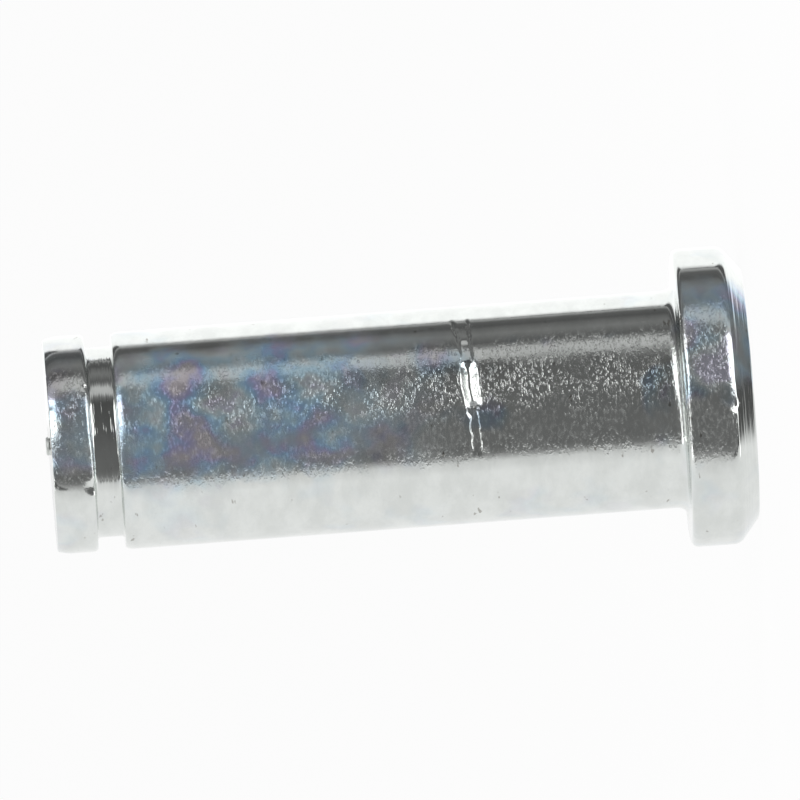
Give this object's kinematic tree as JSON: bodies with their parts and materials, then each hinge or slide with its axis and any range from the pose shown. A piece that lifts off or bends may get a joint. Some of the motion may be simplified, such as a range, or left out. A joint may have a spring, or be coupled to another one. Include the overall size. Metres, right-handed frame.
{
  "type": "clevis pin",
  "caption": "Headed clevis pin: plain round shank, flat head with a chamfered edge, and a retaining-clip groove near the tip.",
  "frame": {"origin": "centre of the head's outer flat face, which the pin stands on", "axes": "+Z along the pin's axis, from the head to the tip; -Y towards the side with the gouge"},
  "size_m": [0.013, 0.013, 0.0307],
  "materials": {
    "zinc_plated_steel": "bright zinc plating with a clear blue passivate over turned steel"
  },
  "bodies": {
    "root": {"pin": "zinc_plated_steel"}
  },
  "joints": []
}
